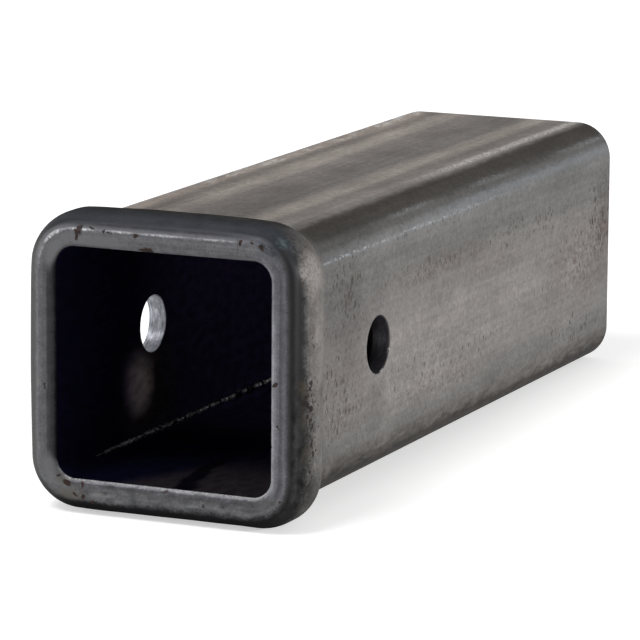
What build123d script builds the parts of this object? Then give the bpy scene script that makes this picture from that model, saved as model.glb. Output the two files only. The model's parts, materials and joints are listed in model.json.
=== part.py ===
from build123d import *

import os

# Square hitch receiver tube with an upset collar round its mouth, all one piece of steel.
# Sizes are in millimetres. The origin is the centre of the mouth, in the plane of the front face.
# +Y runs down the tube to its rear end, +X lies along the cross pin and +Z is up.

# Square tube, cold rolled, open at both ends
TUBE_OUTER = 76.2
TUBE_WALL = 5.5
TUBE_LENGTH = 248.0
TUBE_CORNER_RADIUS = 11.0
REAR_EDGE_BREAK = 0.6

# Collar, measured out from the tube's skin and back from the front face
COLLAR_RISE = 3.9
SHOULDER_LENGTH = 8.0
CROWN_LENGTH = 4.0
RUNOUT_LENGTH = 12.0
RUNOUT_SLOPE = 0.25
RUNOUT_EMBED = 0.8
SIDE_BOW = 0.5
MOUTH_ROUNDING = 1.6

# Cross pin and its hole through both side walls
PIN_DIAMETER = 15.9
PIN_CLEARANCE = 0.7
PIN_SETBACK = 61.5

# Worked out from the sizes above
OPENING = TUBE_OUTER - 2 * TUBE_WALL
OPENING_CORNER_RADIUS = TUBE_CORNER_RADIUS - TUBE_WALL
PIN_HOLE_RADIUS = (PIN_DIAMETER + PIN_CLEARANCE) / 2
COLLAR_ROOT = TUBE_WALL / 2

DOWN_THE_TUBE = Vector(0, 1, 0)
MOUTH_PLANE = Plane(origin=(0, 0, 0), x_dir=(1, 0, 0), z_dir=DOWN_THE_TUBE)


def rolled_square(side, corner_radius):
    """Flat rounded square on the mouth plane."""
    return MOUTH_PLANE * RectangleRounded(side, side, corner_radius)


def square_tube():
    """Tube from the front face to the rear end, whose sawn edges are dulled inside and out."""
    skin = rolled_square(TUBE_OUTER, TUBE_CORNER_RADIUS)
    bore = rolled_square(OPENING, OPENING_CORNER_RADIUS)
    tube = extrude(skin - bore, TUBE_LENGTH)
    rear_end = tube.faces().sort_by(Axis.Y)[-1]
    return chamfer(rear_end.edges(), REAR_EDGE_BREAK)


def bowed_outline():
    """Tube's outline at the mouth, each side swollen outwards by the upsetting."""
    half = TUBE_OUTER / 2
    corners = [(half, half), (-half, half), (-half, -half), (half, -half)]
    middles = [(0, half), (-half, 0), (0, -half), (half, 0)]
    swell = (half + SIDE_BOW) / half
    sides = [
        ThreePointArc(corners[i], Vector(*middles[i]) * swell, corners[(i + 1) % 4])
        for i in range(4)
    ]
    outline = make_face(sides)
    outline = fillet(outline.vertices(), TUBE_CORNER_RADIUS)
    return (MOUTH_PLANE * outline).face().outer_wire()


def collar_section():
    """Section across the collar: x out from the tube's skin, y back from the front face."""
    crown_end = SHOULDER_LENGTH + CROWN_LENGTH
    tail = crown_end + RUNOUT_LENGTH
    sunk = SIDE_BOW + RUNOUT_EMBED
    shoulder = EllipticalCenterArc(
        (0, SHOULDER_LENGTH), COLLAR_RISE, SHOULDER_LENGTH, start_angle=-90, arc_size=90
    )
    crown = Line((COLLAR_RISE, SHOULDER_LENGTH), (COLLAR_RISE, crown_end))
    runout = Spline(
        (COLLAR_RISE, crown_end), (-sunk, tail), tangents=((0, 1), (-RUNOUT_SLOPE, 1))
    )
    root = Polyline((-sunk, tail), (-COLLAR_ROOT, tail), (-COLLAR_ROOT, 0), (0, 0))
    return make_face([shoulder, crown, runout, root])


def upset_collar():
    """Collar ring: its section carried once round the bowed outline."""
    outline = bowed_outline()
    start = outline @ 0
    outwards = (outline % 0).cross(DOWN_THE_TUBE)
    if outwards.dot(start) < 0:
        outwards = -outwards
    station = Plane(origin=start, x_dir=outwards, z_dir=outwards.cross(DOWN_THE_TUBE))
    return sweep(station * collar_section(), path=outline)


def cross_pin_hole():
    """Round cutter on the pin's axis, long enough for both side walls."""
    cutter = Cylinder(PIN_HOLE_RADIUS, 2 * TUBE_OUTER, rotation=(0, 90, 0))
    return Pos(0, PIN_SETBACK, 0) * cutter


receiver_tube = square_tube() + upset_collar()
front_face = receiver_tube.faces().sort_by(Axis.Y)[0]
mouth_edges = front_face.inner_wires()[0].edges()
receiver_tube = fillet(mouth_edges, MOUTH_ROUNDING)
receiver_tube -= cross_pin_hole()

os.makedirs("parts", exist_ok=True)
export_step(receiver_tube, "parts/receiver_tube.step")
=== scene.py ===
"""Dresses the hitch receiver tube in raw, worn steel and lights it for its studio picture.

Lengths are millimetres, scaled once to metres as each mesh is finished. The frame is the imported
model's own: +Y runs down the tube from the mouth, +X lies along the cross pin and +Z is up.
"""

import json
import logging
import math
from abc import ABC, abstractmethod
from collections.abc import Iterable, Sequence
from dataclasses import dataclass
from enum import Enum
from typing import ClassVar

import bmesh
import bpy
from mathutils import Matrix, Vector, noise


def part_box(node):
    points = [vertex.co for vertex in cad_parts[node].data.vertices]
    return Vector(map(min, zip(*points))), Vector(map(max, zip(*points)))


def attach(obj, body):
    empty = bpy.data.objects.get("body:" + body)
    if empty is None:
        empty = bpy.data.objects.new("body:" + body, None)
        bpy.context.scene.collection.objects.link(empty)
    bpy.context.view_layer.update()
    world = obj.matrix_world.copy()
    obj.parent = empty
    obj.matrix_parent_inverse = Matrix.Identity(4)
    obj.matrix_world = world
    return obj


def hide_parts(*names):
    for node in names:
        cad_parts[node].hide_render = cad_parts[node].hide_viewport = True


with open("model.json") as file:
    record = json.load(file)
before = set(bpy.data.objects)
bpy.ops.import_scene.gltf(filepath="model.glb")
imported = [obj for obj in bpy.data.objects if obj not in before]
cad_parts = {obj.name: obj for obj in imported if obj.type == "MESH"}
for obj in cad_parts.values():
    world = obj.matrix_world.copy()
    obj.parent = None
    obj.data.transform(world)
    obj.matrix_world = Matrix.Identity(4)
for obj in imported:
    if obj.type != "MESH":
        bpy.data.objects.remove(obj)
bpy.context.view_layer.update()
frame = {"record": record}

LOG = logging.getLogger("receiver_tube")
MM = 0.001
NODE = "receiver_tube"
BODY = "root"
GIRTH_MAP = "girth"

# In millimetres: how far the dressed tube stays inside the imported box, how near two vertices
# count as one, and how near a point counts as lying on a surface.
INSET = 0.001
WELD_DISTANCE = 1e-4
NEARNESS = 1e-3

# Faces that meet at more than this angle keep a sharp edge between them.
SMOOTH_ANGLE = math.radians(32)

Colour = tuple[float, float, float]
Value = bpy.types.NodeSocket | float | Colour

# A distance out over the lip and the collar, the screen level there and its warmth.
Stop = tuple[float, int, float]

WHITE: Colour = (1.0, 1.0, 1.0)


def tone(red: int, green: int, blue: int) -> Colour:
    """Turns a screen tone into the linear colour that renders as it.

    Args:
        red: Red from 0 to 255.
        green: Green from 0 to 255.
        blue: Blue from 0 to 255.

    Returns:
        The same colour in linear light.
    """
    def linear(level: int) -> float:
        """Straightens one channel of the screen curve."""
        share = level / 255
        return share / 12.92 if share <= 0.04045 else ((share + 0.055) / 1.055) ** 2.4

    return linear(red), linear(green), linear(blue)


def steel(level: int, warmth: float = 0.0) -> Colour:
    """Makes a grey that leans a little to brown or to blue.

    Args:
        level: The grey on the screen, from 0 to 255.
        warmth: How far it leans to brown, or to blue where it is below 0.

    Returns:
        The colour in linear light.
    """
    red = level * (1 + 0.032 * max(warmth, 0.0) + 0.035 * min(warmth + 2.0, 0.0))
    blue = level * (1 - (0.024 if warmth > 0 else 0.028) * warmth)
    return tone(round(red), level, round(blue))


class Patch(Enum):
    """The differently finished patches of the tube, in the order of its material slots."""

    SKIN = 0
    INSIDE = 1
    # The dark bore's darkness is painted shade.
    BRIGHT_BORE = 2
    DARK_BORE = 3
    SAWN_END = 4


@dataclass(frozen=True)
class TubeSizes:
    """Sizes of the tube, in millimetres.

    The outer width, the length, the crown and the pin come from the frame. The others are the
    details that the frame's boxes and mounts don't state.
    """

    outer: float
    length: float
    crown_reach: float
    pin_radius: float
    pin_setback: float
    wall: float = 5.5
    corner_radius: float = 11.0
    side_bow: float = 0.7
    shoulder_length: float = 8.0
    crown_length: float = 4.0
    runout_length: float = 12.0
    runout_slope: float = 0.25
    runout_embed: float = 0.8
    mouth_rounding: float = 1.6
    rear_break: float = 0.6

    @classmethod
    def from_frame(cls, record: dict) -> "TubeSizes":
        """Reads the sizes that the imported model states.

        Args:
            record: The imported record.

        Returns:
            The tube's sizes.
        """
        mounts = {mount["name"]: mount for mount in record["mounts"]}
        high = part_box(NODE)[1]
        pin = mounts["pin_hole"]
        return cls(
            outer=2 * mounts["top_flat"]["pos_m"][2] / MM,
            length=high.y / MM - INSET,
            crown_reach=high.x / MM,
            pin_radius=pin["dims"]["r_mm"],
            pin_setback=pin["pos_m"][1] / MM,
        )

    @property
    def flat(self) -> float:
        """Half the width of a flat between two corner roundings."""
        return self.outer / 2 - self.corner_radius

    @property
    def bore_corner(self) -> float:
        """Radius of the opening's corners, which share the skin's centres."""
        return self.corner_radius - self.wall

    @property
    def collar_rise(self) -> float:
        """How far the crown stands out from the skin, the side's bow left out."""
        return self.crown_reach - self.outer / 2 - self.side_bow

    @property
    def corner_run(self) -> float:
        """Length of the skin round one corner."""
        return math.pi / 2 * self.corner_radius

    @property
    def side_start(self) -> float:
        """Distance round the skin from the middle of the top to where a side's flat starts."""
        return self.flat + self.corner_run

    @property
    def side_end(self) -> float:
        """Distance round the skin from the middle of the top to where a side's flat ends."""
        return self.side_start + 2 * self.flat

    @property
    def half_girth(self) -> float:
        """Distance round the skin from the middle of the top to the middle of the bottom."""
        return 4 * self.flat + 2 * self.corner_run

    @property
    def crown_end(self) -> float:
        """Distance down the tube to where the collar's crown ends."""
        return self.shoulder_length + self.crown_length

    @property
    def collar_length(self) -> float:
        """Distance down the tube to where the collar has run out into the skin."""
        return self.crown_end + self.runout_length


class Sketch:
    """Adds shader nodes to one material and joins them.

    Specks are stretched across and along, frayed by a cloud, and have a largest size and a soft
    edge, both as shares of their spacing.
    """

    speck_stretch: tuple[float, float] = (1.35, 0.85)
    speck_fray: float = 0.7
    speck_size: float = 0.52
    speck_edge: tuple[float, float] = (0.03, -0.09)

    def __init__(self, name: str) -> None:
        """Starts a material whose shader is a Principled BSDF.

        Args:
            name: The material's name.
        """
        self.material = bpy.data.materials.new(name)
        self.material.use_nodes = True
        self.tree = self.material.node_tree
        self.shader = self.tree.nodes["Principled BSDF"]

    def feed(self, socket: bpy.types.NodeSocket, value: Value) -> None:
        """Joins a value to an input, or writes it there when it is a plain number or colour.

        Args:
            socket: The input.
            value: A socket, a number or a colour.
        """
        if isinstance(value, bpy.types.NodeSocket):
            self.tree.links.new(value, socket)
        elif socket.type == "RGBA":
            socket.default_value = (*value, 1.0)
        else:
            socket.default_value = value

    def math(self, operation: str, *values: Value, clamp: bool = False) -> bpy.types.NodeSocket:
        """Adds a Math node.

        Args:
            operation: The node's operation.
            values: Its inputs, in order.
            clamp: Whether the result is held between 0 and 1.

        Returns:
            The result.
        """
        node = self.tree.nodes.new("ShaderNodeMath")
        node.operation = operation
        node.use_clamp = clamp
        for socket, value in zip(node.inputs, values):
            self.feed(socket, value)
        return node.outputs[0]

    def product(self, *values: Value) -> bpy.types.NodeSocket:
        """Multiplies several values, such as masks that must all hold.

        Args:
            values: Two or more sockets or numbers.

        Returns:
            Their product.
        """
        result = values[0]
        for value in values[1:]:
            result = self.math("MULTIPLY", result, value)
        return result

    def vector(self, operation: str, *values: Value) -> bpy.types.NodeSocket:
        """Adds a Vector Math node.

        Args:
            operation: The node's operation.
            values: Its inputs, in order.

        Returns:
            The vector result, or the value where the operation measures.
        """
        node = self.tree.nodes.new("ShaderNodeVectorMath")
        node.operation = operation
        sockets = [node.inputs[0], node.inputs[3 if operation == "SCALE" else 1], node.inputs[2]]
        for socket, value in zip(sockets, values):
            self.feed(socket, value)
        return node.outputs[1 if operation in ("LENGTH", "DISTANCE") else 0]

    def ramp(self, value: Value, low: float, high: float) -> bpy.types.NodeSocket:
        """Eases from 0 at one value to 1 at another, whichever of the two is larger.

        Args:
            value: What is measured.
            low: Where the result is 0.
            high: Where the result is 1.

        Returns:
            The eased share.
        """
        node = self.tree.nodes.new("ShaderNodeMapRange")
        node.interpolation_type = "SMOOTHSTEP"
        self.feed(node.inputs["Value"], value)
        node.inputs["From Min"].default_value = low
        node.inputs["From Max"].default_value = high
        return node.outputs["Result"]

    def band(self, value: Value, start: float, end: float, fade: float) -> bpy.types.NodeSocket:
        """Is 1 between two values and fades to 0 past them."""
        rise = self.ramp(value, start - fade, start + fade)
        return self.product(rise, self.ramp(value, end + fade, end - fade))

    def cloud(
        self,
        place: bpy.types.NodeSocket,
        grain: Sequence[float],
        shift: float = 0.0,
        detail: float = 3.0,
        roughness: float = 0.55,
    ) -> bpy.types.NodeSocket:
        """Adds a noise whose grain differs along each axis.

        Args:
            place: Coordinates in millimetres.
            grain: Size of a grain along each axis, in millimetres.
            shift: Moves the pattern, so that two clouds of one grain differ.
            detail: How many finer layers it has.
            roughness: How strong those layers are.

        Returns:
            A value that lies about 0.5.
        """
        scaled = self.vector("DIVIDE", place, tuple(grain))
        node = self.tree.nodes.new("ShaderNodeTexNoise")
        node.inputs["Scale"].default_value = 1.0
        node.inputs["Detail"].default_value = detail
        node.inputs["Roughness"].default_value = roughness
        self.feed(node.inputs["Vector"], self.shifted(scaled, shift))
        return node.outputs["Fac"]

    def shifted(self, place: bpy.types.NodeSocket, shift: float) -> bpy.types.NodeSocket:
        """Moves coordinates along a slanting line, which gives another part of a pattern."""
        return self.vector("ADD", place, (shift, shift * 0.7, shift * 1.3))

    def sway(self, value: Value, cloud: Value, swing: Value) -> bpy.types.NodeSocket:
        """Moves a measured value to and fro by a cloud."""
        return self.math("MULTIPLY_ADD", self.math("SUBTRACT", cloud, 0.5), swing, value)

    def specks(
        self, place: bpy.types.NodeSocket, spacing: float, thickness: Value, shift: float
    ) -> bpy.types.NodeSocket:
        """Scatters ragged specks of many sizes.

        Args:
            place: Coordinates in millimetres.
            spacing: How far apart the specks lie.
            thickness: How many and how large they are, from 0 to 1.
            shift: Moves the pattern.

        Returns:
            How much of a speck lies at the point.
        """
        across, along = self.speck_stretch
        scaled = self.vector("DIVIDE", place, (across * spacing, along * spacing, 1.0))
        node = self.tree.nodes.new("ShaderNodeTexVoronoi")
        node.inputs["Scale"].default_value = 1.0
        self.feed(node.inputs["Vector"], self.shifted(scaled, shift))
        chance = self.tree.nodes.new("ShaderNodeSeparateColor")
        self.feed(chance.inputs[0], node.outputs["Color"])
        fray = self.cloud(place, (0.5, 0.5, 1.0), shift)
        ragged = self.sway(node.outputs["Distance"], fray, self.speck_fray)
        size = self.product(chance.outputs[0], thickness, self.speck_size)
        return self.ramp(self.math("SUBTRACT", ragged, size), *self.speck_edge)

    def mix(self, share: Value, first: Value, second: Value) -> bpy.types.NodeSocket:
        """Mixes two colours.

        Args:
            share: How much of the second shows.
            first: The colour at 0.
            second: The colour at 1.

        Returns:
            The mixed colour.
        """
        node = self.tree.nodes.new("ShaderNodeMix")
        node.data_type = "RGBA"
        self.feed(node.inputs[0], share)
        self.feed(node.inputs[6], first)
        self.feed(node.inputs[7], second)
        return node.outputs[2]

    def blend(self, share: Value, first: Value, second: Value) -> bpy.types.NodeSocket:
        """Mixes two numbers, as mix does two colours.

        Args:
            share: How much of the second shows.
            first: The number at 0.
            second: The number at 1.

        Returns:
            The mixed number.
        """
        node = self.tree.nodes.new("ShaderNodeMix")
        self.feed(node.inputs[0], share)
        self.feed(node.inputs[2], first)
        self.feed(node.inputs[3], second)
        return node.outputs[0]

    def stripes(
        self, value: Value, low: float, high: float, stops: Iterable[tuple[float, Colour]]
    ) -> bpy.types.NodeSocket:
        """Colours a measured value by a row of stops.

        Args:
            value: What is measured.
            low: The least value that occurs.
            high: The greatest value that occurs.
            stops: Values and their colours, in rising order.

        Returns:
            The colour.
        """
        share = self.math("DIVIDE", self.math("SUBTRACT", value, low), high - low)
        node = self.tree.nodes.new("ShaderNodeValToRGB")
        node.color_ramp.interpolation = "EASE"
        self.feed(node.inputs[0], share)
        elements = node.color_ramp.elements
        while len(elements) > 1:
            elements.remove(elements[-1])
        for number, (at, colour) in enumerate(stops):
            spot = elements[0] if number == 0 else elements.new(1.0)
            spot.position = (at - low) / (high - low)
            spot.color = (*colour, 1.0)
        return node.outputs["Color"]

    def relief(self, height: Value, depth: float, strength: float = 1.0) -> None:
        """Gives the shader a bump from a height.

        Args:
            height: The height, as a share of the depth.
            depth: How deep the relief is, in millimetres.
            strength: How much of it shows.
        """
        node = self.tree.nodes.new("ShaderNodeBump")
        node.inputs["Strength"].default_value = strength
        node.inputs["Distance"].default_value = depth * MM
        self.feed(node.inputs["Height"], height)
        self.feed(self.shader.inputs["Normal"], node.outputs["Normal"])


class Place:
    """Measures of a point on the tube that its finishes share, in millimetres.

    A point less than the lip's margin under the skin lies behind the lip, where the reach also
    counts the way down the tube.
    """

    lip_margin: float = 1.0

    def __init__(self, sketch: Sketch, sizes: TubeSizes) -> None:
        """Adds the nodes that measure.

        Args:
            sketch: The material.
            sizes: The tube's sizes.
        """
        self.sizes = sizes
        new = sketch.tree.nodes.new
        coordinates = new("ShaderNodeTexCoord")
        self.solid = sketch.vector("SCALE", coordinates.outputs["Object"], 1 / MM)
        parts = new("ShaderNodeSeparateXYZ")
        sketch.feed(parts.inputs[0], self.solid)
        self.x, self.y, self.z = parts.outputs
        girth_map = new("ShaderNodeUVMap")
        girth_map.uv_map = GIRTH_MAP
        self.sheet = sketch.vector("SCALE", girth_map.outputs["UV"], 1 / MM)
        sheet_parts = new("ShaderNodeSeparateXYZ")
        sketch.feed(sheet_parts.inputs[0], self.sheet)
        self.girth = sheet_parts.outputs[0]
        squares = [self.past_flat_squared(sketch, way, sizes) for way in (self.x, self.z)]
        square = sketch.math("MAXIMUM", sketch.math("ADD", *squares), 1e-6)
        self.proud = sketch.math("SUBTRACT", sketch.math("SQRT", square), sizes.corner_radius)
        self.rim = self.pair(sketch, self.girth, self.proud)
        self.face = self.pair(sketch, self.x, self.z)
        behind_lip = sketch.math("GREATER_THAN", self.proud, -self.lip_margin)
        self.reach = sketch.math("MULTIPLY_ADD", self.y, behind_lip, self.proud)
        across, upright = (sketch.math("DIVIDE", part, square) for part in squares)
        rightward = sketch.math("GREATER_THAN", self.x, 0.0)
        upward = sketch.math("GREATER_THAN", self.z, 0.0)
        self.right = sketch.product(across, rightward)
        self.left = sketch.math("SUBTRACT", across, self.right)
        self.top = sketch.product(upright, upward)
        self.bottom = sketch.math("SUBTRACT", upright, self.top)

    @staticmethod
    def past_flat_squared(sketch: Sketch, way: Value, sizes: TubeSizes) -> bpy.types.NodeSocket:
        """Squares how far a point lies past the flats along one axis."""
        past = sketch.math("SUBTRACT", sketch.math("ABSOLUTE", way), sizes.flat)
        return sketch.math("POWER", sketch.math("MAXIMUM", past, 0.0), 2.0)

    @staticmethod
    def pair(sketch: Sketch, first: Value, second: Value) -> bpy.types.NodeSocket:
        """Joins two measures into flat coordinates.

        Args:
            sketch: The material.
            first: The first axis.
            second: The second axis.

        Returns:
            The coordinates, with a third axis of 0.
        """
        node = sketch.tree.nodes.new("ShaderNodeCombineXYZ")
        sketch.feed(node.inputs[0], first)
        sketch.feed(node.inputs[1], second)
        return node.outputs[0]


class Coats:
    """A colour, a roughness and a metallic share, with further coats laid over by masks.

    A cloud is thin at the first of the cloud's limits and thick at the second.
    """

    cloud_limits: tuple[float, float] = (0.3, 0.7)

    def __init__(self, sketch: Sketch, colour: Value, roughness: Value, metal: Value) -> None:
        """Starts from the bare steel.

        Args:
            sketch: The material.
            colour: The steel's colour.
            roughness: The steel's roughness.
            metal: How metallic it is.
        """
        self.sketch = sketch
        self.colour = colour
        self.roughness = roughness
        self.metal = metal

    def lay(
        self, mask: Value, colour: Value, roughness: Value | None = None, metal: Value | None = None
    ) -> None:
        """Lays a coat.

        Args:
            mask: Where it lies, from 0 to 1.
            colour: Its colour.
            roughness: Its roughness, or None where it takes the one below.
            metal: How metallic it is, or None where it takes the one below.
        """
        self.colour = self.sketch.mix(mask, self.colour, colour)
        if roughness is not None:
            self.roughness = self.sketch.blend(mask, self.roughness, roughness)
        if metal is not None:
            self.metal = self.sketch.blend(mask, self.metal, metal)

    def shade(self, cloud: Value, least: float, most: float, where: Value = 1.0) -> None:
        """Varies the brightness by a cloud that lies about 0.5."""
        thickness = self.sketch.ramp(cloud, *self.cloud_limits)
        self.dim(where, self.sketch.blend(thickness, least, most))

    def dim(self, mask: Value, factor: Value) -> None:
        """Changes the brightness where a mask lies."""
        self.scale(self.sketch.blend(mask, 1.0, factor))

    def scale(self, factor: Value) -> None:
        """Multiplies the brightness everywhere."""
        self.colour = self.sketch.vector("SCALE", self.colour, factor)

    def finish(self) -> None:
        """Gives the colour, the roughness and the metallic share to the shader."""
        inputs = self.sketch.shader.inputs
        self.sketch.feed(inputs["Base Color"], self.colour)
        self.sketch.feed(inputs["Roughness"], self.roughness)
        self.sketch.feed(inputs["Metallic"], self.metal)


@dataclass(frozen=True)
class Mottle:
    """A cloud that makes a finish darker where it is thin and lighter where it is thick."""

    grain: tuple[float, float, float]
    least: float
    most: float
    shift: float = 0.0
    detail: float = 4.0
    roughness: float = 0.55

    def vary(self, coats: Coats, place: bpy.types.NodeSocket, where: Value = 1.0) -> None:
        """Varies the brightness of the coats below."""
        cloud = coats.sketch.cloud(place, self.grain, self.shift, self.detail, self.roughness)
        coats.shade(cloud, self.least, self.most, where)


@dataclass(frozen=True)
class FleckLayer:
    """Flecks of one size: how far apart they lie, how strong they are, and their pattern's shift."""

    spacing: float
    weight: float
    shift: float


@dataclass(frozen=True)
class Blot:
    """A soft oval on the unrolled skin or on the front face, in millimetres."""

    across: float
    along: float
    half_across: float
    half_along: float
    amount: float = 1.0


def blots(
    sketch: Sketch, place: bpy.types.NodeSocket, ovals: Iterable[Blot], core: float = 0.2
) -> bpy.types.NodeSocket:
    """Adds up soft ovals.

    Args:
        sketch: The material.
        place: Coordinates whose first two axes the ovals lie on.
        ovals: The ovals.
        core: How much of an oval's reach is full.

    Returns:
        How much of the ovals lies at the point.
    """
    total: Value = 0.0
    for oval in ovals:
        centred = sketch.vector("SUBTRACT", place, (oval.across, oval.along, 0.0))
        flattened = sketch.vector("MULTIPLY", centred, (1 / oval.half_across, 1 / oval.half_along, 0.0))
        reach = sketch.ramp(sketch.vector("LENGTH", flattened), 1.0, core)
        total = sketch.math("MULTIPLY_ADD", reach, oval.amount, total)
    return total


@dataclass(frozen=True)
class SkinFinish:
    """Cold rolled skin, toned round its girth with its own bands and with painted light and shade."""

    wander: float = 1.4
    roughness: float = 0.46
    metal: float = 0.35
    fleck_tone: Colour = tone(74, 68, 65)
    rust_tone: Colour = tone(103, 91, 86)
    scuff_tone: Colour = tone(205, 200, 196)
    blue_scuff_tone: Colour = tone(190, 196, 203)
    # The tone of a painted reflection low on the top right corner.
    sheen_tone: Colour = tone(140, 146, 152)
    fleck_layers: tuple[FleckLayer, ...] = (
        FleckLayer(2.3, 0.85, 41.0),
        FleckLayer(1.6, 0.7, 47.0),
        FleckLayer(1.05, 0.6, 49.0),
    )
    coarse_layer: FleckLayer = FleckLayer(2.5, 0.7, 37.0)
    thinnest_flecks: float = 0.16
    dull_roughness: float = 0.6
    dull_metal: float = 0.1
    scuff_roughness: float = 0.4
    line_roughness: float = 0.35
    sheet_mottles: tuple[Mottle, ...] = (
        Mottle((1.6, 90.0, 1.0), 0.93, 1.07, shift=11.0, detail=5.0),
        Mottle((2.4, 3.2, 1.0), 0.93, 1.07, shift=13.0, detail=5.0, roughness=0.65),
        Mottle((14.0, 24.0, 1.0), 0.9, 1.1, shift=5.0),
    )
    solid_mottles: tuple[Mottle, ...] = (
        Mottle((1.3, 1.3, 1.3), 0.86, 1.14, shift=21.0, roughness=0.7),
        Mottle((0.4, 0.4, 0.4), 0.9, 1.1, shift=2.0, detail=2.0),
    )
    foot_mottle: Mottle = Mottle((2.5, 7.0, 1.0), 0.68, 1.32, shift=17.0, detail=5.0, roughness=0.65)
    fleck_fields: tuple[Blot, ...] = (
        Blot(51.0, 38.0, 13.0, 24.0, 0.62),
        Blot(64.0, 40.0, 14.0, 26.0, 0.4),
        Blot(82.0, 30.0, 20.0, 26.0, 0.55),
        Blot(55.0, 95.0, 6.0, 60.0, 0.6),
        Blot(55.0, 170.0, 8.0, 60.0, 0.6),
        Blot(43.0, 110.0, 5.0, 110.0, 0.45),
        Blot(86.0, 105.0, 14.0, 100.0, 0.5),
        Blot(94.0, 215.0, 8.0, 40.0, 0.7),
        Blot(60.0, 240.0, 24.0, 24.0, 0.8),
        Blot(72.0, 205.0, 24.0, 44.0, 0.45),
        Blot(-14.0, 60.0, 30.0, 40.0, 0.25),
        Blot(-60.0, 120.0, 30.0, 90.0, 0.4),
        Blot(130.0, 120.0, 30.0, 90.0, 0.4),
    )
    rust_fields: tuple[Blot, ...] = (
        Blot(56.0, 110.0, 5.0, 60.0, 0.5),
        Blot(62.0, 150.0, 5.0, 40.0, 0.4),
        Blot(74.0, 224.0, 18.0, 34.0, 0.65),
        Blot(64.0, 243.0, 12.0, 9.0, 0.8),
        Blot(90.0, 110.0, 7.0, 60.0, 0.4),
        Blot(82.0, 40.0, 16.0, 30.0, 0.35),
    )
    shade_fields: tuple[Blot, ...] = (
        Blot(-3.0, 50.0, 26.0, 70.0, -0.16),
        Blot(13.0, 110.0, 5.0, 40.0, -0.12),
        Blot(103.0, 44.0, 7.0, 28.0, -0.22),
        Blot(89.0, 60.0, 9.0, 12.0, -0.20),
        Blot(68.0, 34.0, 28.0, 36.0, -0.31),
        Blot(92.0, 16.0, 14.0, 20.0, -0.12),
        Blot(90.0, 54.0, 12.0, 16.0, -0.08),
        Blot(91.0, 95.0, 9.0, 60.0, 0.25),
        Blot(82.0, 185.0, 9.0, 30.0, -0.16),
        Blot(80.0, 235.0, 8.0, 20.0, -0.12),
        Blot(73.0, 203.0, 6.0, 14.0, -0.16),
        Blot(70.0, 250.0, 30.0, 26.0, -0.15),
        Blot(94.0, 212.0, 7.0, 26.0, 0.20),
        Blot(43.0, 30.0, 6.0, 26.0, -0.20),
        Blot(44.0, 214.0, 7.0, 36.0, -0.22),
        Blot(37.0, 30.0, 7.0, 60.0, -0.24),
        Blot(28.0, 32.0, 5.0, 20.0, -0.18),
        Blot(29.5, 190.0, 3.0, 40.0, 0.16),
        Blot(-17.5, 46.0, 9.0, 26.0, -0.16),
        Blot(-20.0, 212.0, 7.0, 52.0, 0.22),
        Blot(5.0, 195.0, 5.0, 50.0, 0.12),
        Blot(17.0, 185.0, 8.0, 80.0, -0.13),
        Blot(13.0, 205.0, 4.0, 45.0, -0.12),
        Blot(25.0, 146.0, 3.5, 16.0, -0.18),
        Blot(25.0, 44.0, 3.5, 20.0, -0.12),
        Blot(25.5, 226.0, 3.0, 14.0, -0.12),
        Blot(-28.5, 104.0, 3.5, 44.0, -0.15),
        Blot(0.0, 68.0, 7.0, 18.0, 0.10),
        Blot(54.0, 62.0, 12.0, 9.0, -0.10),
        Blot(82.0, 62.0, 8.0, 8.0, -0.10),
        Blot(106.0, 166.0, 5.0, 32.0, 0.14),
        Blot(106.0, 243.0, 5.0, 10.0, -0.16),
        Blot(93.0, 28.0, 6.0, 9.0, 0.10),
        Blot(101.0, 200.0, 5.0, 50.0, 0.12),
    )

    def tones(self, sizes: TubeSizes) -> list[tuple[float, Colour]]:
        """Tones round the girth, from the bottom's middle up the left side and down the right.

        Args:
            sizes: The tube's sizes.

        Returns:
            Distances from the middle of the top, and the colour at each.
        """
        edge = sizes.flat
        side = sizes.side_start
        foot = sizes.side_end
        # The stops hold the steel's own bands and painted light and shade: the pale stops at the top left
        # corner are partly a painted highlight, the dark band at the top right corner is partly painted
        # shade and the paler band below it is a painted reflection, and the dark stops at both lower
        # corners are painted shade.
        return [
            (-foot - 6, steel(62, 1.0)),
            (-foot + 4, steel(102)),
            (-side - 30, steel(118, 0.8)),
            (-side - 6, steel(106)),
            (-side + 2, steel(118, -0.5)),
            (-edge - 9, steel(100, 1.0)),
            (-edge - 4, steel(141, 1.0)),
            (-edge + 1, steel(138, 2.2)),
            (-21.8, steel(114, 1.6)),
            (-14.8, steel(144, 1.6)),
            (-7.5, steel(118, 1.2)),
            (0.0, steel(110, 1.0)),
            (7.0, steel(112, 1.2)),
            (14.5, steel(145, 1.6)),
            (19.6, steel(116, 1.4)),
            (24.5, steel(124, 1.2)),
            (edge + 0.6, steel(114, 1.2)),
            (edge + 3.8, steel(62, 2.0)),
            (edge + 7.6, steel(70, 1.5)),
            (edge + 11.4, steel(99, 0.3)),
            (side - 3, steel(122, 0.1)),
            (side + 3, steel(110, 0.6)),
            (side + 8, steel(107, 0.6)),
            (side + 16, steel(118, 0.8)),
            (side + 28, steel(127, 1.0)),
            (foot - 14, steel(127, 0.8)),
            (foot - 2, steel(108, 0.6)),
            (foot + 2.4, steel(92, 1.2)),
            (foot + 5.8, steel(52, 2.4)),
            (foot + 12, steel(48, 2.6)),
            (foot + 22, steel(84, 1.0)),
            (sizes.half_girth, steel(90, 1.0)),
        ]

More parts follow.
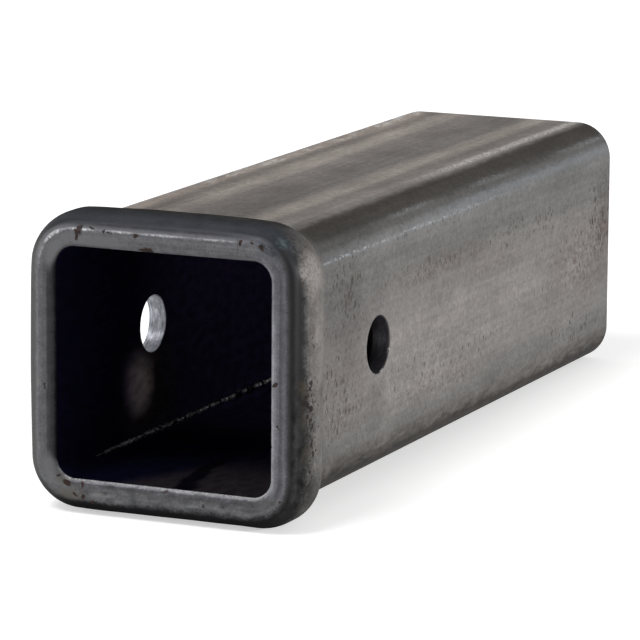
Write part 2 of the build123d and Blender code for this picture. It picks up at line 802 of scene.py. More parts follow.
    def lay(self, sketch: Sketch, place: Place) -> Coats:
        """Colours the skin.

        Args:
            sketch: The material.
            place: Measures of the point.

        Returns:
            The coats, for more to be laid over them.
        """
        sizes = place.sizes
        drift = sketch.cloud(place.sheet, (7.0, 60.0, 1.0), shift=3.0, detail=4.0)
        fray = sketch.cloud(place.sheet, (1.6, 5.0, 1.0), shift=8.0, detail=5.0, roughness=0.65)
        girth = sketch.sway(place.girth, drift, 2 * self.wander)
        foot = sizes.side_end
        near_foot = sketch.band(place.girth, foot - 3.0, foot + 12.0, 4.0)
        girth = sketch.sway(girth, fray, sketch.blend(near_foot, 2.4, 6.0))
        colour = sketch.stripes(girth, -sizes.half_girth, sizes.half_girth, self.tones(sizes))
        metal = sketch.blend(sketch.ramp(place.girth, sizes.flat, sizes.flat + 8.0), 0.1, self.metal)
        coats = Coats(sketch, colour, self.roughness, metal)
        for mottle in self.sheet_mottles:
            mottle.vary(coats, place.sheet)
        for mottle in self.solid_mottles:
            mottle.vary(coats, place.solid)
        along_foot = sketch.band(place.girth, foot + 1.0, foot + 14.0, 1.5)
        self.foot_mottle.vary(coats, place.sheet, along_foot)
        coats.scale(sketch.math("ADD", blots(sketch, place.sheet, self.shade_fields), 1.0))
        self.lay_rust(coats, sketch, place)
        self.lay_flecks(coats, sketch, place)
        self.lay_scuffs(coats, sketch, place)
        return coats

    def lay_rust(self, coats: Coats, sketch: Sketch, place: Place) -> None:
        """Tints the skin brown where it has begun to rust.

        Args:
            coats: The coats below.
            sketch: The material.
            place: Measures of the point.
        """
        patches = sketch.cloud(place.sheet, (1.8, 2.2, 1.0), shift=31.0, detail=5.0, roughness=0.75)
        spots = sketch.ramp(patches, 0.42, 0.62)
        rust = sketch.product(spots, blots(sketch, place.sheet, self.rust_fields))
        coats.lay(rust, self.rust_tone, self.dull_roughness, self.dull_metal)

    def lay_flecks(self, coats: Coats, sketch: Sketch, place: Place) -> None:
        """Leaves dark flecks of scale in the skin, thickest in their fields.

        Args:
            coats: The coats below.
            sketch: The material.
            place: Measures of the point.
        """
        fields = blots(sketch, place.sheet, self.fleck_fields)
        thick = sketch.math("ADD", fields, self.thinnest_flecks, clamp=True)
        for layer in self.fleck_layers:
            specks = sketch.specks(place.sheet, layer.spacing, thick, layer.shift)
            strength = sketch.blend(thick, 0.35 * layer.weight, 0.85 * layer.weight)
            flecks = sketch.product(specks, strength)
            coats.lay(flecks, self.fleck_tone, self.dull_roughness, self.dull_metal)
        layer = self.coarse_layer
        near_collar = sketch.product(thick, sketch.ramp(place.y, 85.0, 45.0))
        specks = sketch.specks(place.sheet, layer.spacing, near_collar, layer.shift)
        flecks = sketch.product(specks, layer.weight)
        coats.lay(flecks, self.fleck_tone, self.dull_roughness, self.dull_metal)

    def lay_scuffs(self, coats: Coats, sketch: Sketch, place: Place) -> None:
        """Rubs the corners bright where the tube was dragged and stacked, and paints a pale bluish
        reflection low on the top right corner.

        Args:
            coats: The coats below.
            sketch: The material.
            place: Measures of the point.
        """
        edge = place.sizes.flat
        side = place.sizes.side_start
        broken = sketch.cloud(place.sheet, (0.9, 4.0, 1.0), shift=51.0, detail=5.0, roughness=0.7)
        strokes = sketch.ramp(broken, 0.42, 0.6)
        patches = sketch.cloud(place.sheet, (6.0, 14.0, 1.0), shift=55.0, detail=4.0)
        patchy = sketch.ramp(patches, 0.42, 0.6)
        fine = sketch.cloud(place.sheet, (0.8, 1.3, 1.0), shift=61.0, detail=4.0, roughness=0.7)
        grit = sketch.ramp(fine, 0.45, 0.62)
        girth = sketch.sway(sketch.sway(place.girth, fine, 1.2), broken, 1.6)
        top_edge = sketch.product(
            sketch.band(girth, edge - 2.8, edge + 0.6, 1.2), sketch.ramp(place.y, 90.0, 165.0),
        )
        top_scuff = sketch.product(top_edge, sketch.blend(grit, 0.25, 0.85))
        coats.lay(top_scuff, self.scuff_tone, self.scuff_roughness)
        left_edge = sketch.product(
            sketch.band(girth, -edge - 5.0, -edge + 2.8, 1.2), sketch.ramp(place.y, 40.0, 120.0),
            sketch.blend(strokes, 0.1, 1.0),
        )
        left_scuff = sketch.product(left_edge, sketch.blend(patchy, 0.1, 0.8))
        coats.lay(left_scuff, self.scuff_tone, self.scuff_roughness)
        upper_line = sketch.product(
            sketch.band(girth, side - 2.3, side - 1.5, 0.4), sketch.ramp(place.y, 185.0, 110.0),
            sketch.blend(grit, 0.05, 0.72), sketch.blend(strokes, 0.25, 0.95),
        )
        coats.lay(upper_line, self.blue_scuff_tone, self.line_roughness)
        # A painted reflection: a pale bluish band low on the top right corner, broken by strokes.
        corner_sheen = sketch.product(
            sketch.band(girth, edge + 12.4, edge + 14.6, 1.6), sketch.ramp(place.y, 80.0, 130.0),
            sketch.blend(strokes, 0.25, 0.55),
        )
        coats.lay(corner_sheen, self.sheen_tone, self.scuff_roughness)
        past_middle = sketch.band(place.y, 138.0, 168.0, 10.0)
        past_middle = sketch.math("ADD", past_middle, sketch.ramp(place.y, 190.0, 235.0))
        crest_line = sketch.product(
            sketch.band(girth, edge + 9.0, edge + 10.4, 0.8),
            sketch.math("ADD", sketch.band(place.y, 76.0, 102.0, 8.0), past_middle),
            sketch.blend(grit, 0.1, 0.32), sketch.blend(strokes, 0.5, 1.0),
        )
        coats.lay(crest_line, self.blue_scuff_tone, self.line_roughness)


@dataclass(frozen=True)
class FrontFinish:
    """The lip and the upset collar, toned along the way out from the opening on each side.

    A stop gives a distance, the screen level there and its warmth. Distances under 0 lie on the
    lip, between the opening at -5.5 and its outer edge. Those over 0 run over the collar, as the
    sum of how far it stands out and how far down the tube it is. Each side's stops paint the light
    and shade that fall on that side over the scale's own tones: the bottom and the lower right are
    painted in shade, the crown's upper right is painted lit, and the mouth's rounding is painted
    bright at the top, right and bottom and in shade on the left.
    """

    top: tuple[Stop, ...] = (
        (-5.4, 130, -1.0), (-4.5, 94, -1.0), (-3.2, 98, -1.0), (-2.2, 104, -1.2), (-1.2, 100, -1.2),
        (-0.8, 108, -1.2), (-0.4, 118, -1.4), (0.0, 116, -1.6), (0.5, 106, -1.8), (1.0, 88, -2.0),
        (1.5, 66, -2.1), (2.1, 59, -2.3), (2.8, 58, -2.5), (3.8, 66, -2.5), (5.4, 66, -2.5),
        (7.8, 58, -2.5), (10.3, 50, -2.6), (13.4, 46, -1.6), (16.8, 46, 0.5), (19.5, 48, 0.5),
        (22.0, 60, 0.0),
    )
    right_lip: tuple[Stop, ...] = (
        (-5.4, 172, -1.5), (-4.8, 150, -1.5), (-4.2, 121, -1.5), (-3.2, 104, -1.8), (-2.4, 84, -1.8),
        (-1.3, 101, -1.8), (-0.7, 90, -1.8), (-0.1, 68, -1.0),
    )
    right_high: tuple[Stop, ...] = (
        (0.6, 52, -1.0), (1.2, 43, -1.0), (2.9, 58, -0.5), (4.6, 45, 0.0), (5.8, 50, 0.3),
        (7.1, 72, 0.5), (8.6, 98, 0.8), (11.4, 110, 1.0), (14.4, 117, 1.0), (18.0, 114, 1.0),
        (22.0, 114, 0.8),
    )
    right_low: tuple[Stop, ...] = (
        (0.6, 50, -1.0), (1.2, 41, -1.2), (2.9, 53, -1.0), (4.2, 43, -0.8), (5.8, 46, -0.3),
        (7.6, 58, 0.2), (9.6, 79, 0.6), (11.6, 93, 0.8), (14.0, 103, 0.8), (18.0, 100, 0.8),
        (22.0, 98, 0.8),
    )
    bottom: tuple[Stop, ...] = (
        (-5.4, 130, -1.0), (-4.9, 112, -1.5), (-4.3, 95, -1.5), (-3.5, 86, -1.0), (-2.5, 98, -0.6),
        (-0.9, 101, -0.8), (-0.3, 86, -1.0), (0.4, 56, -1.5), (1.3, 33, -1.5), (3.1, 28, -1.0),
        (10.3, 26, -0.5), (16.4, 36, 0.0), (22.0, 52, 0.5),
    )
    left: tuple[Stop, ...] = (
        (-5.4, 30, -1.5), (-4.9, 48, -1.5), (-4.2, 58, -1.5), (-3.3, 65, -1.5), (-2.4, 90, -1.0),
        (-1.6, 97, -1.0), (-1.2, 98, -1.0), (-0.8, 108, -1.0), (-0.1, 116, -0.6), (0.7, 95, -0.2),
        (1.3, 87, 0.0), (2.7, 82, 0.0), (6.4, 88, 0.2), (12.4, 96, 0.6), (22.0, 110, 1.0),
    )
    reach_limits: ClassVar[tuple[float, float]] = (-5.5, 24.0)
    grit: Mottle = Mottle((0.5, 0.5, 0.5), 0.9, 1.1, shift=4.0, detail=2.0)
    stain: Mottle = Mottle((1.9, 1.9, 2.8), 0.55, 1.4, shift=63.0, roughness=0.6)
    # Worn steel with a painted highlight on it, for the crown's upper right.
    wear_and_highlight: Colour = tone(150, 144, 140)
    # A pale blue-green for a painted highlight on the bloom.
    teal_highlight: Colour = tone(94, 108, 113)
    dark_teal: Colour = tone(52, 60, 66)
    fleck: Colour = tone(46, 40, 38)
    fleck_layers: tuple[FleckLayer, ...] = (
        FleckLayer(2.4, 0.85, 72.0),
        FleckLayer(1.7, 0.9, 75.0),
        FleckLayer(1.1, 0.8, 77.0),
    )
    roughness: float = 0.42
    rubbed_roughness: float = 0.38
    dull_roughness: float = 0.6
    dull_metal: float = 0.1
    fleck_squeeze: tuple[float, float, float] = (1.3, 0.95, 1.0)
    bloom_share: float = 0.7
    wide_bloom: Blot = Blot(32.0, 4.0, 6.0, 5.0)
    corner_bloom: Blot = Blot(32.5, -0.4, 6.0, 2.2)
    teal_highlight_spot: Blot = Blot(34.0, 2.6, 2.4, 2.2)
    bright_patches: tuple[Blot, ...] = (
        Blot(41.5, 8.5, 4.5, 7.5, 0.9),
        Blot(46.5, 7.0, 5.0, 4.0, 0.35),
        Blot(42.5, 3.6, 5.0, 2.0, 0.2),
    )
    shade_fields: tuple[Blot, ...] = (
        Blot(51.0, 11.0, 7.0, 8.0, -0.16),
        Blot(74.0, 16.0, 4.0, 7.0, -0.22),
        Blot(102.0, 13.0, 7.0, 13.0, -0.40),
        Blot(78.0, 6.0, 4.0, 3.0, 0.20),
        Blot(33.0, 6.5, 5.0, 3.5, -0.22),
        Blot(36.5, 2.8, 3.0, 1.6, 0.22),
        Blot(101.0, 6.5, 7.0, 4.5, -0.22),
        Blot(78.0, 14.0, 8.0, 5.0, -0.10),
        Blot(40.5, 14.0, 4.0, 8.0, 0.10),
    )
    grime: Colour = tone(66, 62, 55)
    grime_fields: tuple[Blot, ...] = (
        Blot(73.5, 2.4, 5.0, 2.6, 0.8),
        Blot(90.0, 4.5, 8.0, 4.0, 0.6),
        Blot(81.0, 3.4, 4.0, 3.0, 0.5),
    )
    fleck_fields: tuple[Blot, ...] = (
        Blot(76.0, 4.5, 12.0, 4.5, 1.1),
        Blot(90.0, 6.0, 13.0, 6.0, 0.8),
        Blot(82.0, 13.0, 16.0, 9.0, 0.45),
        Blot(78.0, 7.5, 12.0, 3.5, 0.3),
        Blot(60.0, 6.0, 10.0, 7.0, 0.45),
        Blot(36.0, 7.0, 5.0, 7.0, 0.6),
        Blot(100.0, 9.0, 6.0, 9.0, 0.6),
    )

    def lay(self, coats: Coats, sketch: Sketch, place: Place) -> None:
        """Lays the tones of the lip and the collar over the skin.

        Args:
            coats: The coats below.
            sketch: The material.
            place: Measures of the point.
        """
        tail = place.sizes.collar_length
        loose = sketch.ramp(place.reach, 2.5, 7.0)
        fray = sketch.cloud(place.solid, (1.1, 1.3, 1.0), shift=7.0, detail=5.0, roughness=0.7)
        patches = sketch.cloud(place.solid, (5.0, 5.0, 4.0), shift=27.0, detail=3.0)
        ragged = sketch.product(place.bottom, 2.2)
        low = sketch.ramp(place.z, 12.0, -12.0)
        crisp = sketch.product(place.right, sketch.math("SUBTRACT", 1.0, low))
        frayed = sketch.blend(loose, sketch.math("ADD", ragged, 0.7), sketch.blend(crisp, 7.0, 3.2))
        swayed = sketch.blend(loose, sketch.math("ADD", ragged, 0.8), sketch.blend(crisp, 5.0, 3.5))
        reach = sketch.sway(sketch.sway(place.reach, fray, frayed), patches, swayed)
        # Lit and shaded copies of the tones, one for each side, the right split into its upper and lower
        # half.
        colour = self.tone_sides(sketch, reach, (
            (place.top, self.top),
            (crisp, self.right_lip + self.right_high),
            (sketch.product(place.right, low), self.right_lip + self.right_low),
            (place.bottom, self.bottom),
            (place.left, self.left),
        ))
        under = sketch.product(place.bottom, sketch.ramp(place.reach, 0.0, 2.0))
        metal = sketch.blend(loose, 0.45, sketch.blend(place.right, 0.1, 0.3))
        metal = sketch.product(metal, sketch.blend(under, 1.0, 0.1))
        on_front = sketch.ramp(place.y, tail + 0.5, tail - 2.0)
        coats.lay(on_front, colour, self.roughness, metal)
        on_collar = sketch.product(loose, on_front)
        coats.shade(patches, 0.82, 1.18, on_collar)
        coats.shade(fray, 0.84, 1.16, on_collar)
        self.grit.vary(coats, place.solid, on_collar)
        shoulder = sketch.product(sketch.ramp(place.reach, 0.4, 1.6), sketch.ramp(place.reach, 11.0, 6.0))
        self.stain.vary(coats, place.solid, sketch.product(place.right, low, on_front, shoulder))
        self.lay_fields(coats, sketch, place, on_front, patches, fray)
        self.bloom(coats, sketch, place)

    @staticmethod
    def tone_sides(
        sketch: Sketch, reach: Value, sides: Iterable[tuple[Value, tuple[Stop, ...]]]
    ) -> bpy.types.NodeSocket:
        """Adds up the tones of the sides, each by its share of the point.

        Args:
            sketch: The material.
            reach: Distance out from the opening.
            sides: Each side's share and its stops.

        Returns:
            The colour.
        """
        colour: Value = (0.0, 0.0, 0.0)
        for share, stops in sides:
            tones = [(at, steel(level, warmth)) for at, level, warmth in stops]
            striped = sketch.stripes(reach, *FrontFinish.reach_limits, tones)
            colour = sketch.vector("ADD", colour, sketch.vector("SCALE", striped, share))
        return colour

    def lay_fields(
        self, coats: Coats, sketch: Sketch, place: Place, on_front: Value, patches: Value, fray: Value
    ) -> None:
        """Lays the shades, the grime, the worn patches with their painted highlight and the flecks of
        the collar.

        Args:
            coats: The coats below.
            sketch: The material.
            place: Measures of the point.
            on_front: Where the lip and the collar lie.
            patches: A cloud of wide patches.
            fray: A cloud of fine fray.
        """
        fields = sketch.product(blots(sketch, place.sheet, self.shade_fields), on_front)
        coats.scale(sketch.math("ADD", fields, 1.0))
        grimy = sketch.product(
            blots(sketch, place.sheet, self.grime_fields), sketch.ramp(patches, 0.4, 0.6), on_front,
        )
        coats.lay(grimy, self.grime, self.dull_roughness, self.dull_metal)
        # Pale patches on the crown's upper right: worn steel with a painted highlight.
        patched = blots(sketch, place.sheet, self.bright_patches)
        wear_and_highlight_mask = sketch.product(patched, sketch.ramp(fray, 0.3, 0.55))
        coats.lay(wear_and_highlight_mask, self.wear_and_highlight, self.rubbed_roughness)
        thick = blots(sketch, place.sheet, self.fleck_fields)
        rounder = sketch.vector("MULTIPLY", place.sheet, self.fleck_squeeze)
        for layer in self.fleck_layers:
            specks = sketch.specks(rounder, layer.spacing, thick, layer.shift)
            flecks = sketch.product(specks, layer.weight, on_front)
            coats.lay(flecks, self.fleck, self.dull_roughness, self.dull_metal)

    def bloom(self, coats: Coats, sketch: Sketch, place: Place) -> None:
        """Gives the scale its blue-green bloom at the top right corner, with a painted highlight in
        pale blue-green on it.

        Args:
            coats: The coats below.
            sketch: The material.
            place: Measures of the point.
        """
        cloud = sketch.cloud(place.solid, (1.6, 1.6, 1.6), shift=81.0, detail=4.0, roughness=0.6)
        wide = blots(sketch, place.sheet, (self.wide_bloom,))
        wide = sketch.product(wide, sketch.ramp(cloud, 0.35, 0.6), self.bloom_share)
        coats.lay(wide, self.dark_teal, self.rubbed_roughness)
        corner = blots(sketch, place.rim, (self.corner_bloom,))
        front = sketch.ramp(place.y, 3.0, 1.5)
        corner = sketch.product(corner, front, sketch.ramp(cloud, 0.35, 0.55), self.bloom_share)
        coats.lay(corner, self.dark_teal, self.rubbed_roughness)
        # A painted highlight in pale blue-green on the bloom.
        spot = blots(sketch, place.sheet, (self.teal_highlight_spot,))
        spot = sketch.product(spot, sketch.ramp(cloud, 0.58, 0.42), self.bloom_share)
        coats.lay(spot, self.teal_highlight, self.rubbed_roughness)


@dataclass(frozen=True)
class LipMarks:
    """Grinding streaks and brown chips left by handling, and painted highlights on the lip's edges."""

    # The tone of the painted highlights on the lip's edges.
    bright: Colour = tone(226, 226, 229)
    bright_roughness: float = 0.3
    chip_roughness: float = 0.7
    chip_metal: float = 0.05
    chip_share: float = 0.92
    chip: Colour = tone(46, 41, 39)
    chip_core: Colour = tone(68, 50, 44)
    stain: Colour = tone(98, 94, 87)
    pale: Colour = tone(124, 123, 122)
    corner_tone: Colour = steel(108, -1.0)
    lower_mottle: Mottle = Mottle((3.6, 3.0, 2.4), 0.74, 1.16, shift=37.0, detail=5.0, roughness=0.65)
    # Painted highlights along the lip's outer edge, and one at the mouth's lower right corner.
    rim_lights: tuple[Blot, ...] = (
        Blot(-41.0, -0.6, 6.0, 0.6, 0.25),
        Blot(-33.5, -0.45, 5.5, 0.75, 1.0),
        Blot(-24.5, -0.35, 6.0, 0.55, 0.95),
        Blot(-13.0, -0.3, 7.0, 0.5, 0.7),
        Blot(1.0, -0.3, 11.0, 0.5, 0.6),
        Blot(16.0, -0.3, 9.0, 0.45, 0.4),
        Blot(107.0, -5.45, 11.0, 0.6, 1.1),
    )
    pale_corners: tuple[Blot, ...] = (
        Blot(-27.0, -3.8, 22.0, 2.6, 0.75),
        Blot(-39.0, -3.6, 8.0, 2.6, 0.5),
        Blot(-104.5, -3.4, 9.0, 3.0, 0.9),
        Blot(-111.0, -2.0, 8.0, 2.0, 0.4),
        Blot(-125.0, -0.2, 13.0, 0.9, 0.4),
    )
    shade_fields: tuple[Blot, ...] = (
        Blot(46.0, -4.2, 14.0, 1.7, -0.30),
        Blot(40.0, -0.7, 17.0, 2.0, -0.22),
        Blot(-118.0, -5.3, 14.0, 0.6, -0.30),
    )
    smudge: Colour = tone(66, 68, 68)
    smudges: tuple[Blot, ...] = (
        Blot(-15.6, -37.4, 2.0, 1.4, 0.6),
        Blot(-8.2, -37.4, 2.6, 1.6, 0.7),
        Blot(-0.4, -37.4, 1.8, 1.6, 0.9),
        Blot(-22.0, -39.0, 3.0, 0.9, 0.8),
        Blot(9.0, -37.8, 3.0, 1.2, 0.6),
        Blot(20.0, -38.0, 3.0, 1.0, 0.5),
    )
    stains: tuple[Blot, ...] = (
        Blot(-28.0, -37.0, 6.0, 3.0, 0.6),
        Blot(-30.0, -33.0, 4.0, 2.0, 0.5),
    )
    pale_streaks: tuple[Blot, ...] = (
        Blot(-18.0, -36.4, 8.0, 0.9, 0.8),
        Blot(10.0, -36.6, 9.0, 0.8, 0.4),
        Blot(-37.9, 4.0, 0.5, 26.0, 0.4),
    )
    chips: tuple[Blot, ...] = (
        Blot(-25.4, 36.9, 1.9, 1.5),
        Blot(-26.0, 35.6, 0.9, 1.2),
        Blot(-24.6, 38.2, 1.4, 0.8),
        Blot(-21.0, 38.3, 1.1, 0.7),
        Blot(-17.4, 37.8, 1.1, 0.6),
        Blot(-16.0, 37.4, 0.8, 0.5),
        Blot(-14.8, 37.5, 0.6, 0.5),
        Blot(-7.9, 37.2, 1.2, 1.0),
        Blot(-4.6, 33.1, 3.1, 1.5),
        Blot(23.7, 37.6, 1.0, 0.8),
        Blot(27.3, 38.1, 1.2, 0.6),
        Blot(29.8, 36.9, 1.6, 0.9),
        Blot(-29.2, -33.7, 2.0, 1.3),
        Blot(-31.7, -32.3, 0.8, 0.8),
        Blot(-24.4, -33.8, 0.9, 1.4),
        Blot(-26.6, -36.6, 1.3, 1.4),
        Blot(-24.0, -37.2, 1.1, 0.9),
        Blot(-20.6, -38.6, 1.2, 0.5),
        Blot(-36.0, -7.3, 0.6, 1.5),
        Blot(34.0, -0.5, 1.6, 0.7),
        Blot(35.2, -12.0, 0.6, 0.7),
        Blot(35.5, -32.8, 0.6, 0.8),
        Blot(33.0, -17.6, 0.5, 0.8),
        Blot(33.0, 22.4, 0.5, 0.8),
        Blot(1.0, -33.2, 1.0, 0.6),
        Blot(13.0, -36.4, 0.5, 0.4),
        Blot(18.9, -36.0, 0.5, 0.5),
    )

    def lay(self, coats: Coats, sketch: Sketch, place: Place) -> None:
        """Marks the lip and paints highlights on its edges.

        Args:
            coats: The coats below.
            sketch: The material.
            place: Measures of the point.
        """
        front = sketch.ramp(place.y, 2.4, 1.8)
        on_lip = sketch.product(front, sketch.ramp(place.proud, 0.8, -0.2))
        streaks = sketch.cloud(place.rim, (34.0, 0.7, 1.0), shift=12.0, detail=5.0, roughness=0.65)
        mottle = sketch.cloud(place.solid, (3.0, 3.0, 3.0), shift=23.0, detail=5.0, roughness=0.65)
        grain = sketch.cloud(place.solid, (0.6, 0.6, 0.6), shift=29.0, detail=3.0)
        coats.shade(streaks, 0.84, 1.16, on_lip)
        coats.shade(mottle, 0.86, 1.12, on_lip)
        coats.shade(grain, 0.88, 1.12, on_lip)
        # The lip's plain tone, laid back at its left corners where the left side's painted shade of the
        # mouth would otherwise spread.
        corners = blots(sketch, place.rim, self.pale_corners, core=0.5)
        coats.lay(sketch.product(corners, on_lip), self.corner_tone)
        fields = sketch.product(blots(sketch, place.rim, self.shade_fields), front)
        coats.scale(sketch.math("ADD", fields, 1.0))
        self.lower_mottle.vary(coats, place.solid, sketch.product(on_lip, place.bottom))
        smudged = blots(sketch, place.face, self.smudges)
        coats.lay(sketch.product(smudged, on_lip, sketch.ramp(mottle, 0.35, 0.6)), self.smudge)
        coats.lay(sketch.product(blots(sketch, place.face, self.stains), on_lip), self.stain)
        pale = sketch.product(blots(sketch, place.face, self.pale_streaks), sketch.ramp(mottle, 0.4, 0.6))
        coats.lay(sketch.product(pale, on_lip), self.pale)
        # Painted highlights, broken into glints, along the lip's outer edge and at the mouth's lower
        # right corner.
        grit = sketch.cloud(place.solid, (1.0, 1.0, 1.0), shift=33.0, detail=5.0, roughness=0.7)
        ragged_rim = Place.pair(sketch, place.girth, sketch.sway(place.proud, grit, 1.1))
        glints = sketch.blend(sketch.ramp(grit, 0.42, 0.58), 0.3, 1.0)
        rim = sketch.product(blots(sketch, ragged_rim, self.rim_lights), glints, front)
        coats.lay(sketch.math("MINIMUM", rim, 0.95), self.bright, self.bright_roughness)
        # A painted highlight along the bottom of the mouth's rounding.
        wall = place.sizes.wall
        mouth = sketch.product(
            sketch.band(place.proud, -wall - 0.5, -wall + 0.35, 0.15), place.bottom, front,
            sketch.blend(sketch.ramp(grit, 0.4, 0.6), 0.3, 0.95),
        )
        coats.lay(mouth, self.bright, self.bright_roughness)
        self.chip_away(coats, sketch, place, front)

    def chip_away(self, coats: Coats, sketch: Sketch, place: Place, front: Value) -> None:
        """Leaves brown chips of scale on the lip.

        Args:
            coats: The coats below.
            sketch: The material.
            place: Measures of the point.
            front: Where the front face lies.
        """
        torn = sketch.cloud(place.solid, (0.9, 0.9, 0.9), shift=43.0, detail=5.0, roughness=0.7)
        aside = sketch.cloud(place.solid, (1.6, 1.6, 1.6), shift=44.0, detail=3.0)
        above = sketch.cloud(place.solid, (1.6, 1.6, 1.6), shift=46.0, detail=3.0)
        twisted = Place.pair(
            sketch, sketch.sway(place.x, aside, 3.0), sketch.sway(place.z, above, 3.0),
        )
        amount = sketch.sway(blots(sketch, twisted, self.chips, core=0.0), torn, 1.7)
        colour = sketch.mix(sketch.ramp(torn, 0.42, 0.6), self.chip, self.chip_core)
        chipped = sketch.product(sketch.ramp(amount, 0.16, 0.42), front, self.chip_share)
        coats.lay(chipped, colour, self.chip_roughness, self.chip_metal)


class Finish(ABC):
    """A finish that becomes a material of its own."""

    name: str

    def make(self, sizes: TubeSizes) -> bpy.types.Material:
        """Makes the material.

        Args:
            sizes: The tube's sizes, which the patterns follow.

        Returns:
            The material.
        """
        sketch = Sketch(self.name)
        self.dress(sketch, Place(sketch, sizes))
        return sketch.material

    @abstractmethod
    def dress(self, sketch: Sketch, place: Place) -> None:
        """Gives the material its coats."""


@dataclass(frozen=True)
class MillSkin(Finish):
    """The worn skin, with the collar's tones and the lip's marks over it."""

    name: str = "worn_mill_skin"
    skin: SkinFinish = SkinFinish()
    front: FrontFinish = FrontFinish()
    lip: LipMarks = LipMarks()
    pit_grain: tuple[float, float, float] = (0.9, 0.9, 0.9)
    pit_depth: float = 0.12
    pit_strength: float = 0.5

    def dress(self, sketch: Sketch, place: Place) -> None:
        """Lays the skin, the front and the lip, and pits them a little.

        Args:
            sketch: The material.
            place: Measures of the point.
        """
        coats = self.skin.lay(sketch, place)
        self.front.lay(coats, sketch, place)
        self.lip.lay(coats, sketch, place)
        coats.finish()
        sketch.shader.inputs["Specular IOR Level"].default_value = 0.0
        pits = sketch.cloud(place.solid, self.pit_grain, shift=91.0, detail=5.0, roughness=0.65)
        sketch.relief(pits, self.pit_depth, self.pit_strength)


@dataclass(frozen=True)
class InnerScale(Finish):
    """Black scale inside the tube, with painted light deep inside, on the left wall and on the floor."""

    name: str = "inner_scale"
    roughness: float = 0.7
    scale: Colour = tone(18, 16, 34)
    painted_deep_light: Colour = tone(92, 82, 122)
    far_scale: Colour = tone(50, 46, 46)
    lit_spot: Colour = tone(58, 52, 53)
    dark_floor: Colour = tone(10, 10, 26)
    lit_floor_wedge: Colour = tone(35, 32, 36)
    stain: Colour = tone(9, 8, 14)
    stains: tuple[Blot, ...] = (
        Blot(5.5, 3.0, 4.5, 12.0),
        Blot(2.5, 16.0, 4.0, 14.0),
        Blot(0.3, 33.0, 3.5, 17.0),
    )
    clouding: Mottle = Mottle((2.5, 6.0, 2.5), 0.75, 1.25)

    def dress(self, sketch: Sketch, place: Place) -> None:
        """Lays the scale down the tube, with painted light deep inside and on the left wall, then
        darkens the floor near the mouth, paints a lit wedge on it and lays dark patches there.

        Args:
            sketch: The material.
            place: Measures of the point.
        """
        coats = Coats(sketch, self.scale, self.roughness, 0.0)
        # Painted light: a paler tone deep inside, where little light reaches.
        deep = sketch.product(sketch.ramp(place.y, 40.0, 130.0), sketch.ramp(place.y, 190.0, 160.0))
        coats.lay(deep, self.painted_deep_light)
        coats.lay(sketch.ramp(place.y, 190.0, 230.0), self.far_scale)
        # A painted lit spot on the left wall, where light comes in through the right pin hole.
        lit = sketch.product(
            sketch.band(place.y, 46.0, 72.0, 10.0), sketch.band(place.z, -30.0, -6.0, 5.0), place.left,
        )
        coats.lay(lit, self.lit_spot)
        # Darker on the floor's left part near the mouth, over the painted deep light.
        dark = sketch.product(
            place.bottom, sketch.ramp(place.y, 95.0, 55.0), sketch.ramp(place.x, 12.0, -6.0),
        )
        coats.lay(dark, self.dark_floor)
        # A painted lit wedge on the floor near the mouth, where light falls in through the opening.
        slant = sketch.math("MULTIPLY_ADD", place.x, -2.2, sketch.math("SUBTRACT", place.y, 26.0))
        worn = sketch.product(
            place.bottom, sketch.ramp(place.y, 60.0, 20.0), sketch.ramp(slant, 16.0, -10.0),
        )
        coats.lay(worn, self.lit_floor_wedge)
        # Dark patches on the floor near the mouth.
        along = Place.pair(sketch, place.x, place.y)
        fray = sketch.cloud(place.solid, (2.0, 3.0, 2.0), shift=5.0, detail=4.0, roughness=0.65)
        stained = sketch.sway(blots(sketch, along, self.stains), fray, 1.3)
        coats.lay(sketch.product(sketch.ramp(stained, 0.1, 0.75), place.bottom), self.stain)
        self.clouding.vary(coats, place.solid)
        coats.finish()
        sketch.shader.inputs["Specular IOR Level"].default_value = 0.0


@dataclass(frozen=True)
class CutSteel(Finish):
    """Bare steel as a tool leaves it, with the streaks of that tool."""

    name: str
    bare: Colour
    streaks: tuple[Mottle, ...]
    roughness: float = 0.38
    metal: float = 0.6

    def dress(self, sketch: Sketch, place: Place) -> None:
        """Lays the bare steel and its streaks.

        Args:
            sketch: The material.
            place: Measures of the point.
        """
        coats = Coats(sketch, self.bare, self.roughness, self.metal)
        for streak in self.streaks:
            streak.vary(coats, place.solid)
        coats.finish()


